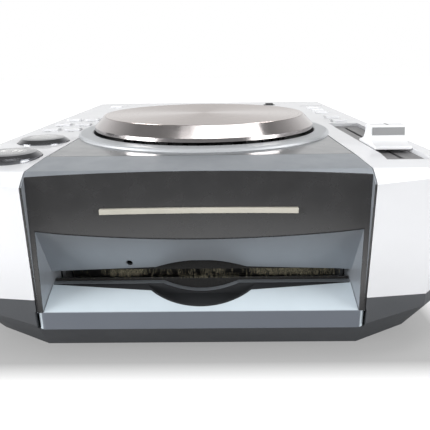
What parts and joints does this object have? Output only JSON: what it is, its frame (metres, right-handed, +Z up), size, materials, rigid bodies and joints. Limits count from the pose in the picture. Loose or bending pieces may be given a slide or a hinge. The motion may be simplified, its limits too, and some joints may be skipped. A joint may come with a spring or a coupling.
{
  "type": "tabletop dj cd player",
  "caption": "Compact slot-loading tabletop DJ CD player with a large jog dial, play and cue buttons and a tempo slider.",
  "frame": {"origin": "centre of the box's underside, on the surface that the feet stand on", "axes": "+X to the user's right, +Y from the disc slot towards the rear panel, +Z up"},
  "size_m": [0.218, 0.294, 0.0942],
  "materials": {
    "silver_case": "fine metallic satin paint over moulded plastic",
    "grey_front": "semi-gloss dark grey moulding",
    "dark_deck": "semi-gloss grey",
    "base_plastic": "satin dark grey moulding",
    "shelf_plastic": "satin blue-grey paint",
    "black_plastic": "fine texture",
    "lens": "smoked, semi-gloss",
    "felt": "short pile",
    "rubber": "matt",
    "lamp_diffuser": "milky diffuser",
    "ring_plastic": "satin grey",
    "dial_metal": "chromed plastic",
    "brushed_plate": "concentric brushed",
    "key_silver": "satin silver paint",
    "key_chrome": "chromed rim, translucent grey cap",
    "display_glass": "smoked clear acrylic",
    "slider_plastic": "satin",
    "sheet_steel": "zinc plated",
    "brass": "plated",
    "board": "solder mask"
  },
  "bodies": {
    "chassis": {"base_tray": "base_plastic", "feet": "rubber", "top_shell": "silver_case", "centre_deck": "dark_deck", "front_fascia": "grey_front", "loading_shelf": "shelf_plastic", "slot_escutcheon": "black_plastic", "slot_felts": "felt", "light_bar": "lamp_diffuser", "jog_ring": "ring_plastic", "jog_tray": "black_plastic", "jog_bush": "brass", "encoder_sensor": "black_plastic", "display_window": "display_glass", "display_module": "sheet_steel", "slider_bezel": "slider_plastic", "slide_pot": "sheet_steel", "key_boards": "board", "main_board": "board", "transformer": "sheet_steel", "ribbon_cable": "board", "loader_frame": "sheet_steel", "loader_dampers": "rubber", "guide_rods": "sheet_steel", "spindle_motor": "sheet_steel", "sled_motor": "sheet_steel", "loading_motor": "sheet_steel", "rear_panel": "black_plastic", "output_jacks": "brass", "control_jack": "black_plastic", "ac_inlet": "black_plastic", "power_switch": "black_plastic", "screws": "sheet_steel", "front_lens": "lens"},
    "jog": {"jog_dial": "dial_metal", "jog_plate": "brushed_plate", "encoder_ring": "black_plastic"},
    "play_button_body": {"play_button": "key_chrome"},
    "cue_button_body": {"cue_button": "key_chrome"},
    "track_back_button_body": {"track_back_button": "key_silver"},
    "track_forward_button_body": {"track_forward_button": "key_silver"},
    "search_back_button_body": {"search_back_button": "key_silver"},
    "search_forward_button_body": {"search_forward_button": "key_silver"},
    "folder_back_button_body": {"folder_back_button": "key_silver"},
    "folder_forward_button_body": {"folder_forward_button": "key_silver"},
    "eject_button_body": {"eject_button": "key_silver"},
    "effect_button_1_body": {"effect_button_1": "key_silver"},
    "effect_button_2_body": {"effect_button_2": "key_silver"},
    "effect_button_3_body": {"effect_button_3": "key_silver"},
    "tempo_range_button_body": {"tempo_range_button": "key_silver"},
    "master_tempo_button_body": {"master_tempo_button": "key_silver"},
    "tempo_knob_body": {"tempo_knob": "key_silver"},
    "power_rocker_body": {"power_rocker": "black_plastic"},
    "turntable_body": {"turntable": "black_plastic"},
    "clamp_arm_body": {"clamp_arm": "sheet_steel"},
    "clamp_puck_body": {"clamp_puck": "black_plastic"},
    "loading_roller_body": {"loading_roller": "rubber"},
    "loading_pinion_body": {"loading_pinion": "black_plastic"},
    "pickup_sled_body": {"pickup_sled": "black_plastic"},
    "lead_screw_body": {"lead_screw": "sheet_steel"}
  },
  "joints": [
    {"name": "jog_turn", "type": "hinge", "parent": "chassis", "child": "jog", "pos_m": [0, -0.0452, 0.0842], "axis": [0, 0, 1], "continuous": true},
    {"name": "play_press", "type": "slide", "parent": "chassis", "child": "play_button_body", "axis": [0, 0, 1], "range_m": [-0.001, 0], "stiffness_N_per_m": 400},
    {"name": "cue_press", "type": "slide", "parent": "chassis", "child": "cue_button_body", "axis": [0, 0, 1], "range_m": [-0.001, 0], "stiffness_N_per_m": 400},
    {"name": "track_back_press", "type": "slide", "parent": "chassis", "child": "track_back_button_body", "axis": [0, 0, 1], "range_m": [-0.001, 0], "stiffness_N_per_m": 400},
    {"name": "track_forward_press", "type": "slide", "parent": "chassis", "child": "track_forward_button_body", "axis": [0, 0, 1], "range_m": [-0.001, 0], "stiffness_N_per_m": 400},
    {"name": "search_back_press", "type": "slide", "parent": "chassis", "child": "search_back_button_body", "axis": [0, 0, 1], "range_m": [-0.001, 0], "stiffness_N_per_m": 400},
    {"name": "search_forward_press", "type": "slide", "parent": "chassis", "child": "search_forward_button_body", "axis": [0, 0, 1], "range_m": [-0.001, 0], "stiffness_N_per_m": 400},
    {"name": "folder_back_press", "type": "slide", "parent": "chassis", "child": "folder_back_button_body", "axis": [0, 0, 1], "range_m": [-0.001, 0], "stiffness_N_per_m": 400},
    {"name": "folder_forward_press", "type": "slide", "parent": "chassis", "child": "folder_forward_button_body", "axis": [0, 0, 1], "range_m": [-0.001, 0], "stiffness_N_per_m": 400},
    {"name": "eject_press", "type": "slide", "parent": "chassis", "child": "eject_button_body", "axis": [0, 0, 1], "range_m": [-0.001, 0], "stiffness_N_per_m": 400},
    {"name": "effect_1_press", "type": "slide", "parent": "chassis", "child": "effect_button_1_body", "axis": [0, 0, 1], "range_m": [-0.001, 0], "stiffness_N_per_m": 400},
    {"name": "effect_2_press", "type": "slide", "parent": "chassis", "child": "effect_button_2_body", "axis": [0, 0, 1], "range_m": [-0.001, 0], "stiffness_N_per_m": 400},
    {"name": "effect_3_press", "type": "slide", "parent": "chassis", "child": "effect_button_3_body", "axis": [0, 0, 1], "range_m": [-0.001, 0], "stiffness_N_per_m": 400},
    {"name": "tempo_range_press", "type": "slide", "parent": "chassis", "child": "tempo_range_button_body", "axis": [0, 0, 1], "range_m": [-0.001, 0], "stiffness_N_per_m": 400},
    {"name": "master_tempo_press", "type": "slide", "parent": "chassis", "child": "master_tempo_button_body", "axis": [0, 0, 1], "range_m": [-0.001, 0], "stiffness_N_per_m": 400},
    {"name": "tempo_slide", "type": "slide", "parent": "chassis", "child": "tempo_knob_body", "axis": [0, 1, 0], "range_m": [-0.0183, 0.0647]},
    {"name": "power_rock", "type": "hinge", "parent": "chassis", "child": "power_rocker_body", "pos_m": [0.0532, 0.11, 0.083], "axis": [1, 0, 0], "range_deg": [-10, 0]},
    {"name": "turntable_spin", "type": "hinge", "parent": "chassis", "child": "turntable_body", "pos_m": [0, -0.055, 0.028], "axis": [0, 0, 1], "continuous": true},
    {"name": "clamp_swing", "type": "hinge", "parent": "chassis", "child": "clamp_arm_body", "pos_m": [0, 0.019, 0.0393], "axis": [1, 0, 0], "range_deg": [0, 3.2]},
    {"name": "puck_spin", "type": "hinge", "parent": "clamp_arm_body", "child": "clamp_puck_body", "pos_m": [0, -0.055, 0.0356], "axis": [0, 0, 1], "continuous": true},
    {"name": "pinion_spin", "type": "hinge", "parent": "chassis", "child": "loading_pinion_body", "pos_m": [0.06, -0.09553, 0.0192], "axis": [1, 0, 0], "continuous": true},
    {"name": "roller_spin", "type": "hinge", "parent": "chassis", "child": "loading_roller_body", "pos_m": [0, -0.108, 0.0264], "axis": [1, 0, 0], "continuous": true},
    {"name": "pickup_travel", "type": "slide", "parent": "chassis", "child": "pickup_sled_body", "axis": [0, 1, 0], "range_m": [0, 0.033]},
    {"name": "lead_screw_spin", "type": "hinge", "parent": "chassis", "child": "lead_screw_body", "pos_m": [0.031, 0, 0.0211], "axis": [0, 1, 0], "range_deg": [0, 3961]}
  ],
  "couplings": [
    {"joint": "puck_spin", "follows": "turntable_spin", "ratio": 1},
    {"joint": "roller_spin", "follows": "pinion_spin", "ratio": -0.5},
    {"joint": "lead_screw_spin", "follows": "pickup_travel", "rad_per_m": 2094.4}
  ]
}
